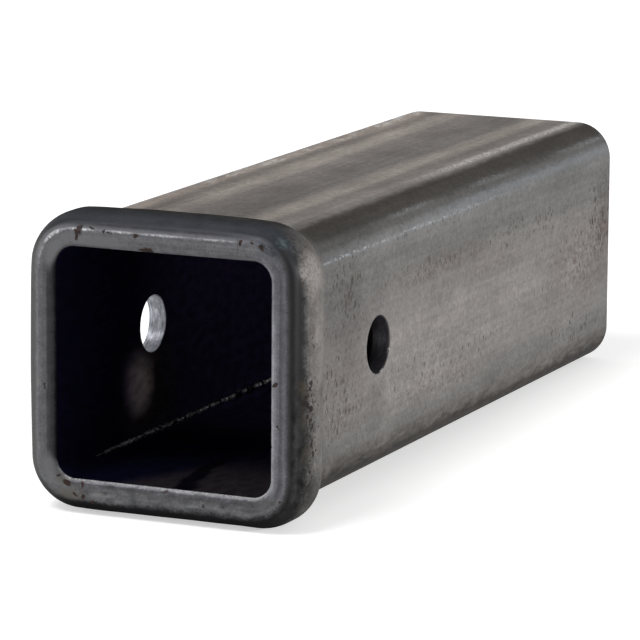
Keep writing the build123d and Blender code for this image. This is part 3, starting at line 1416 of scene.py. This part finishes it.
@dataclass(frozen=True)
class ShadedBoreSteel(Finish):
    """The right pin hole's wall, painted in shade that deepens inwards, worn at the rim and bright at
    a few burrs, whose brightness is partly a painted highlight.

    The burrs are placed about the pin's axis, down the tube and up.
    """

    name: str = "shaded_bore_steel"
    roughness: float = 0.5
    metal: float = 0.4
    shaded_wall_tone: Colour = tone(66, 63, 68)
    worn: Colour = tone(108, 104, 103)
    bright: Colour = tone(224, 224, 226)
    film: Mottle = Mottle((0.8, 2.0, 2.0), 0.6, 1.3)
    inner_level: float = 0.3
    burrs: tuple[Blot, ...] = (
        Blot(7.6, -3.2, 1.2, 1.3),
        Blot(2.6, -7.9, 1.4, 1.0),
    )

    def dress(self, sketch: Sketch, place: Place) -> None:
        """Paints shade on the wall, deeper inwards, and wears its rim.

        Args:
            sketch: The material.
            place: Measures of the point.
        """
        coats = Coats(sketch, self.shaded_wall_tone, self.roughness, self.metal)
        self.film.vary(coats, place.solid)
        # Painted shade, deepening into the hole.
        skin_at = place.sizes.outer / 2
        inwards = sketch.ramp(place.x, skin_at - 2.5, skin_at - place.sizes.wall)
        coats.dim(inwards, self.inner_level)
        past_pin = sketch.math("SUBTRACT", place.y, place.sizes.pin_setback)
        worn_rim = sketch.ramp(place.x, skin_at - 0.75, skin_at - 0.3)
        coats.lay(sketch.product(worn_rim, sketch.ramp(past_pin, -2.0, 6.0)), self.worn, 0.5, 0.2)
        # Bright burrs at the rim, their brightness partly a painted highlight.
        burrs = blots(sketch, Place.pair(sketch, past_pin, place.z), self.burrs)
        rim = sketch.ramp(place.x, skin_at - 0.8, skin_at - 0.3)
        torn = sketch.ramp(sketch.cloud(place.solid, (0.8, 0.8, 0.8), shift=9.0), 0.4, 0.55)
        coats.lay(sketch.product(burrs, rim, torn), self.bright, 0.3)
        coats.finish()


@dataclass(frozen=True)
class WeldFlash(Finish):
    """The seam bead's bare steel, bright on its lumps with painted shade between them, duller near the
    mouth.
    """

    name: str = "weld_flash_steel"
    roughness: float = 0.4
    metal: float = 0.6
    bare: Colour = tone(190, 188, 192)
    hollow_level: float = 0.12
    near_level: float = 0.4

    def dress(self, sketch: Sketch, place: Place) -> None:
        """Lays the bare steel, with painted shade in the hollows between the lumps.

        Args:
            sketch: The material.
            place: Measures of the point.
        """
        coats = Coats(sketch, self.bare, self.roughness, self.metal)
        # Painted shade in the hollows between the lumps.
        lumps = sketch.cloud(place.solid, (2.4, 2.8, 2.4), detail=4.0, roughness=0.7)
        coats.dim(sketch.ramp(lumps, 0.54, 0.44), self.hollow_level)
        coats.dim(sketch.ramp(place.y, 44.0, 24.0), self.near_level)
        coats.finish()


DRILLED_STEEL = CutSteel("drilled_steel", tone(168, 170, 178), (
    Mottle((0.5, 3.5, 3.5), 0.35, 1.35, detail=5.0, roughness=0.7),
    Mottle((1.5, 2.0, 2.0), 0.7, 1.2, shift=14.0),
))
SAWN_STEEL = CutSteel("sawn_steel", tone(128, 126, 124), (
    Mottle((30.0, 1.0, 0.35), 0.8, 1.15),
    Mottle((6.0, 6.0, 6.0), 0.85, 1.1, shift=6.0),
))
FINISHES: dict[Patch, Finish] = {
    Patch.SKIN: MillSkin(),
    Patch.INSIDE: InnerScale(),
    Patch.BRIGHT_BORE: DRILLED_STEEL,
    Patch.DARK_BORE: ShadedBoreSteel(),
    Patch.SAWN_END: SAWN_STEEL,
}


@dataclass(frozen=True)
class Dent:
    """A shallow low spot in the collar's outline, or a high one where the depth is below 0."""

    x: float
    z: float
    reach: float
    depth: float


@dataclass
class ReceiverTube:
    """The one-piece tube: wall, upset collar, cross pin hole and sawn rear end."""

    sizes: TubeSizes
    corner_steps: int = 20
    side_steps: int = 34
    shoulder_steps: int = 14
    runout_steps: int = 16
    rounding_steps: int = 6
    row_spacing: float = 6.0
    hole_steps: int = 72
    hole_break: float = 0.15
    waviness: float = 0.16
    wave_length: float = 13.0
    bore_margin: float = 0.05
    dents: tuple[Dent, ...] = (
        Dent(34.5, 36.5, 14.0, 0.42),
        Dent(-34.5, 35.5, 12.0, 0.25),
        Dent(2.0, -38.1, 28.0, 0.27),
        Dent(33.5, -35.5, 13.0, -0.32),
    )

    def collar_height(self, y: float, bow: float) -> float:
        """Works out how far the collar stands out from the skin.

        Args:
            y: Distance from the front face.
            bow: How far the side is bowed out there.

        Returns:
            The height over the skin, never below it.
        """
        s = self.sizes
        if y >= s.collar_length:
            return 0.0
        if y < s.shoulder_length:
            short = 1 - y / s.shoulder_length
            height = s.collar_rise * math.sqrt(max(0.0, 1 - short * short))
        elif y <= s.crown_end:
            height = s.collar_rise
        else:
            t = (y - s.crown_end) / s.runout_length
            tail = -(s.side_bow + s.runout_embed)
            slope = -s.runout_slope * s.runout_length
            height = (
                (2 * t**3 - 3 * t**2 + 1) * s.collar_rise
                + (3 * t**2 - 2 * t**3) * tail
                + (t**3 - t**2) * slope
            )
        return max(0.0, height + bow)

    def evenly(self, start: float, end: float) -> list[float]:
        """Lists even rows down a stretch of the wall, its end but not its start."""
        count = round(abs(end - start) / self.row_spacing)
        return [start + (end - start) * step / count for step in range(1, count + 1)]

    def rows(self) -> list[tuple[float, float]]:
        """Lists the wall's section as radius about the corner's centre and distance down the tube.

        Returns:
            The section's points, once round.
        """
        s = self.sizes
        inner, outer, rounding = s.bore_corner, s.corner_radius, s.mouth_rounding
        tail = s.collar_length
        points: list[tuple[float, float]] = []
        lip_inner = inner + rounding
        for step in range(self.rounding_steps + 1):
            turn = math.pi / 2 * step / self.rounding_steps
            points.append((lip_inner - rounding * math.sin(turn), rounding * (1 - math.cos(turn))))
        points.reverse()
        points += [(lip_inner + (outer - lip_inner) * share, 0.0) for share in (0.25, 0.5, 0.75)]
        for step in range(self.shoulder_steps + 1):
            turn = math.pi / 2 * step / self.shoulder_steps
            points.append((outer, s.shoulder_length * (1 - math.cos(turn))))
        points += [(outer, s.shoulder_length + s.crown_length * share) for share in (0.5, 1.0)]
        run = s.runout_length / self.runout_steps
        points += [(outer, s.crown_end + run * step) for step in range(1, self.runout_steps + 1)]
        points += [(outer, y) for y in (tail + 0.5, tail + 2.0)]
        last = s.length - s.rear_break
        points += [(outer, y) for y in self.evenly(tail + 2.0, last - 1.0)]
        points += [(outer, last), (outer - s.rear_break, s.length)]
        points += [(inner + s.rear_break, s.length), (inner, last), (inner, last - 1.0)]
        points += [(inner, y) for y in self.evenly(last - 1.0, rounding + 1.0)]
        return points

    def sweep_wall(self) -> bmesh.types.BMesh:
        """Carries the wall's section once round the opening.

        Returns:
            The closed wall, with a plain skin.
        """
        flat = self.sizes.flat
        mesh = bmesh.new()
        section = [mesh.verts.new((flat + radius, y, -flat)) for radius, y in self.rows()]
        edges = [mesh.edges.new(pair) for pair in zip(section, section[1:] + section[:1])]
        travelling: list = [*section, *edges]
        corners = ((flat, flat), (-flat, flat), (-flat, -flat), (flat, -flat))
        ways = ((0, 0, 1), (-1, 0, 0), (0, 0, -1), (1, 0, 0))
        for (x, z), way in zip(corners, ways):
            run = Vector(way) * (2 * flat / self.side_steps)
            straight = bmesh.ops.spin(
                mesh, geom=travelling, cent=(0, 0, 0), axis=(0, 1, 0), dvec=run,
                angle=0.0, steps=self.side_steps,
            )
            turned = bmesh.ops.spin(
                mesh, geom=straight["geom_last"], cent=(x, 0, z), axis=(0, 1, 0),
                angle=-math.pi / 2, steps=self.corner_steps,
            )
            travelling = turned["geom_last"]
        bmesh.ops.remove_doubles(mesh, verts=mesh.verts, dist=WELD_DISTANCE)
        bmesh.ops.recalc_face_normals(mesh, faces=mesh.faces)
        return mesh

    def outward(self, place: Vector) -> tuple[Vector, float]:
        """Finds the way out of the wall at a point.

        Args:
            place: A point of the wall.

        Returns:
            The unit way out, and the radius about the nearest corner's centre.
        """
        flat = self.sizes.flat
        away = Vector((
            math.copysign(max(abs(place.x) - flat, 0.0), place.x),
            0.0,
            math.copysign(max(abs(place.z) - flat, 0.0), place.z),
        ))
        return away.normalized(), away.length

    def swell_collar(self, mesh: bmesh.types.BMesh) -> None:
        """Raises the collar from the plain skin, with its slightly hammered outline.

        Args:
            mesh: The wall.
        """
        s = self.sizes
        half = s.outer / 2
        for vert in mesh.verts:
            way, radius = self.outward(vert.co)
            if radius < s.corner_radius - NEARNESS or vert.co.y > s.collar_length:
                continue
            along = min(abs(vert.co.x), abs(vert.co.z), s.flat)
            bow = s.side_bow * (1 - (along / half) ** 2)
            height = self.collar_height(vert.co.y, bow)
            wave = noise.noise(vert.co / self.wave_length) * 0.5 + 0.5
            low = self.waviness * wave
            for dent in self.dents:
                away = math.hypot(vert.co.x - dent.x, vert.co.z - dent.z) / dent.reach
                low += dent.depth * max(0.0, 1 - away**2) ** 2
            vert.co += way * max(0.0, height - low * min(1.0, height))

    def hole_cutter(self) -> bmesh.types.BMesh:
        """Turns the drill's path through both walls, which breaks each rim a little.

        Returns:
            The closed cutter, in place.
        """
        s = self.sizes
        half, inner = s.outer / 2, s.outer / 2 - s.wall
        radius, edge, past = s.pin_radius, self.hole_break, 3.0
        wide = radius + edge + past
        right = [
            (inner - past, wide), (inner + edge, radius), (half - edge, radius), (half + past, wide),
            (half + past, 0.0),
        ]
        path = [(-x, r) for x, r in reversed(right)] + right
        mesh = bmesh.new()
        line = [mesh.verts.new((x, s.pin_setback, r)) for x, r in path]
        edges = [mesh.edges.new(pair) for pair in zip(line, line[1:])]
        bmesh.ops.spin(
            mesh, geom=[*line, *edges], cent=(0, s.pin_setback, 0), axis=(1, 0, 0),
            angle=2 * math.pi, steps=self.hole_steps, use_merge=True,
        )
        bmesh.ops.remove_doubles(mesh, verts=mesh.verts, dist=WELD_DISTANCE)
        bmesh.ops.recalc_face_normals(mesh, faces=mesh.faces)
        return mesh

    def cut_hole(self, tube: bpy.types.Object) -> None:
        """Takes the drill's path out of the tube.

        Args:
            tube: The tube's object.
        """
        cutter = to_object("drill_path", self.hole_cutter())
        modifier = tube.modifiers.new("cross_pin_hole", "BOOLEAN")
        modifier.object = cutter
        modifier.operation = "DIFFERENCE"
        modifier.solver = "EXACT"
        graph = bpy.context.evaluated_depsgraph_get()
        cut = bpy.data.meshes.new_from_object(tube.evaluated_get(graph))
        tube.modifiers.clear()
        tube.data = cut
        bpy.data.objects.remove(cutter)

    def patch_of(self, face: bpy.types.MeshPolygon) -> Patch:
        """Tells which finish a face has.

        Args:
            face: A face of the finished tube.

        Returns:
            Its patch.
        """
        s = self.sizes
        centre = face.center / MM
        from_pin = math.hypot(centre.y - s.pin_setback, centre.z)
        if from_pin < s.pin_radius + self.hole_break and abs(centre.x) > s.outer / 2 - s.wall:
            return Patch.DARK_BORE if centre.x > 0 else Patch.BRIGHT_BORE
        if centre.y > s.length - s.rear_break:
            return Patch.SAWN_END
        way, radius = self.outward(centre)
        if radius < s.bore_corner + self.bore_margin and way.dot(face.normal) < -0.5:
            return Patch.INSIDE
        return Patch.SKIN

    def girth_at(self, place: Vector) -> float:
        """Measures round the outline from the middle of the top, positive to the right.

        Args:
            place: A point of the tube, in millimetres.

        Returns:
            The distance round the skin.
        """
        s = self.sizes
        way, _ = self.outward(place)
        turn = math.atan2(abs(way.x), way.z)
        along_top = min(abs(place.x), s.flat)
        down = s.flat - max(-s.flat, min(s.flat, place.z))
        if place.z > s.flat and abs(place.x) <= s.flat:
            girth = along_top
        elif turn <= math.pi / 2 + 1e-6 and place.z >= -s.flat:
            girth = s.flat + s.corner_radius * min(turn, math.pi / 2) + down
        else:
            girth = s.flat + s.corner_radius * turn + 2 * s.flat + (s.flat - along_top)
        return math.copysign(girth, place.x)

    def map_girth(self, mesh: bpy.types.Mesh) -> None:
        """Unrolls the skin into a map of girth against distance down the tube.

        Args:
            mesh: The finished mesh, in metres.
        """
        layer = mesh.uv_layers.new(name=GIRTH_MAP)
        wrap = 2 * self.sizes.half_girth
        for face in mesh.polygons:
            middle = self.girth_at(face.center / MM)
            for loop in face.loop_indices:
                place = mesh.vertices[mesh.loops[loop].vertex_index].co / MM
                girth = self.girth_at(place)
                if girth - middle > wrap / 2:
                    girth -= wrap
                elif middle - girth > wrap / 2:
                    girth += wrap
                layer.data[loop].uv = (girth * MM, place.y * MM)

    def build(self) -> bpy.types.Object:
        """Builds the tube and dresses it.

        Returns:
            The finished piece.
        """
        wall = self.sweep_wall()
        self.swell_collar(wall)
        tube = to_object("receiver_tube_skin", wall)
        self.cut_hole(tube)
        self.map_girth(tube.data)
        tube.data.materials.clear()
        for patch in Patch:
            tube.data.materials.append(FINISHES[patch].make(self.sizes))
        for face in tube.data.polygons:
            face.material_index = self.patch_of(face).value
            face.use_smooth = True
        tube.data.set_sharp_from_angle(angle=SMOOTH_ANGLE)
        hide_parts(NODE)
        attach(tube, BODY)
        return tube


@dataclass
class SeamBead:
    """The bead that the tube's own weld pressed inwards, along the lower left inner corner."""

    sizes: TubeSizes
    start: float = 22.0
    end: float = 146.0
    radius: float = 1.15
    near_share: float = 0.5
    lumps: float = 0.5
    lump_length: float = 1.5
    near_taper: float = 8.0
    far_taper: float = 12.0
    least_taper: float = 0.2
    least_scale: float = 0.15
    rings: int = 150
    steps: int = 8

    def thickness_at(self, y: float) -> float:
        """Works out how thick the bead is without its lumps.

        Args:
            y: Distance from the front face.

        Returns:
            The thickness, as a share of its full one.
        """
        begun, left = y - self.start, self.end - y
        taper = max(self.least_taper, min(1.0, begun / self.near_taper, left / self.far_taper))
        growth = self.near_share + (1 - self.near_share) * begun / (self.end - self.start)
        return taper * growth

    def build(self) -> bpy.types.Object:
        """Builds the bead, half sunk in the wall.

        Returns:
            The finished piece.
        """
        s = self.sizes
        mesh = bmesh.new()
        bmesh.ops.create_cone(
            mesh, cap_ends=True, segments=self.steps, radius1=self.radius, radius2=self.radius,
            depth=self.end - self.start,
        )
        turn = Matrix.Rotation(math.pi / 2, 4, "X")
        centre = s.flat + s.bore_corner * math.sqrt(0.5)
        shift = Matrix.Translation((-centre, (self.start + self.end) / 2, -centre))
        bmesh.ops.transform(mesh, matrix=shift @ turn, verts=mesh.verts)
        long_edges = [edge for edge in mesh.edges if edge.calc_length() > 2 * self.radius]
        bmesh.ops.subdivide_edges(mesh, edges=long_edges, cuts=self.rings, use_grid_fill=True)
        for vert in mesh.verts:
            middle = Vector((-centre, vert.co.y, -centre))
            lump = noise.noise(Vector((3.0, vert.co.y / self.lump_length, 7.0)))
            scale = (1 + self.lumps * 2 * lump) * self.thickness_at(vert.co.y)
            vert.co = middle + (vert.co - middle) * max(self.least_scale, scale)
        bmesh.ops.recalc_face_normals(mesh, faces=mesh.faces)
        bead = to_object("seam_bead", mesh)
        bead.data.materials.append(WeldFlash().make(s))
        for face in bead.data.polygons:
            face.use_smooth = True
        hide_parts(NODE)
        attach(bead, BODY)
        return bead


def to_object(name: str, mesh: bmesh.types.BMesh) -> bpy.types.Object:
    """Turns a mesh in millimetres into an object in metres, at the origin.

    Args:
        name: The object's name.
        mesh: The mesh, which is freed.

    Returns:
        The object, linked to the scene.
    """
    bmesh.ops.scale(mesh, vec=(MM, MM, MM), verts=mesh.verts)
    data = bpy.data.meshes.new(name)
    mesh.to_mesh(data)
    mesh.free()
    thing = bpy.data.objects.new(name, data)
    bpy.context.scene.collection.objects.link(thing)
    return thing


@dataclass(frozen=True)
class Lamp:
    """A square soft lamp, with its place and its side in metres."""

    name: str
    place: tuple[float, float, float]
    side: float
    watts: float


@dataclass
class Studio:
    """The pale floor, the soft lights and the camera.

    Lengths are metres, but the lens and its sensor are millimetres.
    """

    sizes: TubeSizes
    floor_size: float = 6.0
    floor_level: float = 0.82
    floor_roughness: float = 0.9
    floor_glow: float = 0.52
    camera_place: tuple[float, float, float] = (0.5118, -1.0431, 0.2396)
    camera_yaw: float = math.radians(24.001)
    camera_pitch: float = math.radians(10.959)
    camera_roll: float = math.radians(0.381)
    lens: float = 244.50
    sensor: float = 36.0
    near_clip: float = 0.05
    far_clip: float = 50.0
    world_level: float = 0.38
    lamps: tuple[Lamp, ...] = (
        Lamp("key_lamp", (2.4, 0.40, 0.56), 0.22, 34.0),
        Lamp("top_lamp", (-0.4, -0.9, 1.7), 0.8, 20.0),
        Lamp("left_lamp", (-2.2, -0.9, 0.7), 0.8, 12.0),
    )

    def lay_floor(self) -> bpy.types.Object:
        """Lays the floor so that the collar and the rear end both touch it.

        Returns:
            The floor.
        """
        s = self.sizes
        collar_at = s.shoulder_length + s.crown_length / 2
        slope = (s.crown_reach - s.outer / 2) / (s.length - collar_at)
        mesh = bmesh.new()
        bmesh.ops.create_grid(mesh, x_segments=1, y_segments=1, size=self.floor_size / 2 / MM)
        tilt = Matrix.Rotation(math.atan(slope), 4, "X")
        bmesh.ops.transform(mesh, matrix=tilt, verts=mesh.verts)
        drop = -s.crown_reach - slope * collar_at
        bmesh.ops.translate(mesh, vec=(0, 0, drop), verts=mesh.verts)
        floor = to_object("studio_floor", mesh)
        floor.data.materials.append(self.floor_material())
        return floor

    def floor_material(self) -> bpy.types.Material:
        """Returns a pale floor that looks white where nothing shades it."""
        sketch = Sketch("pale_floor")
        inputs = sketch.shader.inputs
        sketch.feed(inputs["Base Color"], (self.floor_level,) * 3)
        sketch.feed(inputs["Roughness"], self.floor_roughness)
        sketch.feed(inputs["Specular IOR Level"], 0.0)
        rays = sketch.tree.nodes.new("ShaderNodeLightPath").outputs
        seen = sketch.math("MAXIMUM", rays["Is Camera Ray"], rays["Is Glossy Ray"])
        seen = sketch.math("MAXIMUM", seen, rays["Is Transmission Ray"])
        sketch.feed(inputs["Emission Color"], WHITE)
        sketch.feed(inputs["Emission Strength"], sketch.math("MULTIPLY", seen, self.floor_glow))
        return sketch.material

    def light_world(self) -> None:
        """Fills the room with soft, even light."""
        world = bpy.data.worlds.new("studio_world")
        bpy.context.scene.world = world
        world.use_nodes = True
        background = world.node_tree.nodes["Background"]
        background.inputs["Color"].default_value = (*WHITE, 1.0)
        background.inputs["Strength"].default_value = self.world_level

    def hang_lamp(self, lamp: Lamp) -> None:
        """Hangs a lamp that faces the middle of the tube.

        Args:
            lamp: The lamp.
        """
        light = bpy.data.lights.new(lamp.name, "AREA")
        light.shape = "SQUARE"
        light.size = lamp.side
        light.energy = lamp.watts
        thing = bpy.data.objects.new(lamp.name, light)
        bpy.context.scene.collection.objects.link(thing)
        place = Vector(lamp.place)
        target = Vector((0.0, self.sizes.length / 2 * MM, 0.0))
        thing.location = place
        thing.rotation_euler = (target - place).to_track_quat("-Z", "Y").to_euler()

    def place_camera(self) -> None:
        """Puts the camera where the photograph was taken from."""
        camera = bpy.data.cameras.new("camera")
        camera.lens = self.lens
        camera.sensor_width = self.sensor
        camera.clip_start = self.near_clip
        camera.clip_end = self.far_clip
        thing = bpy.data.objects.new("camera", camera)
        bpy.context.scene.collection.objects.link(thing)
        turn = Matrix.Rotation(self.camera_yaw, 4, "Z")
        tilt = Matrix.Rotation(math.pi / 2 - self.camera_pitch, 4, "X")
        roll = Matrix.Rotation(self.camera_roll, 4, "Z")
        place = Matrix.Translation(Vector(self.camera_place))
        thing.matrix_world = place @ turn @ tilt @ roll
        bpy.context.scene.camera = thing

    def build(self) -> None:
        """Builds the whole studio."""
        self.lay_floor()
        self.light_world()
        for lamp in self.lamps:
            self.hang_lamp(lamp)
        self.place_camera()
        bpy.context.scene.view_settings.view_transform = "Standard"


def main() -> None:
    """Builds the tube and its studio."""
    logging.basicConfig(level=logging.INFO)
    sizes = TubeSizes.from_frame(frame["record"])
    tube = ReceiverTube(sizes).build()
    LOG.info("%s has %d faces", tube.name, len(tube.data.polygons))
    bead = SeamBead(sizes).build()
    LOG.info("%s has %d faces", bead.name, len(bead.data.polygons))
    Studio(sizes).build()
    LOG.info("the studio stands")


if __name__ == "__main__":
    main()
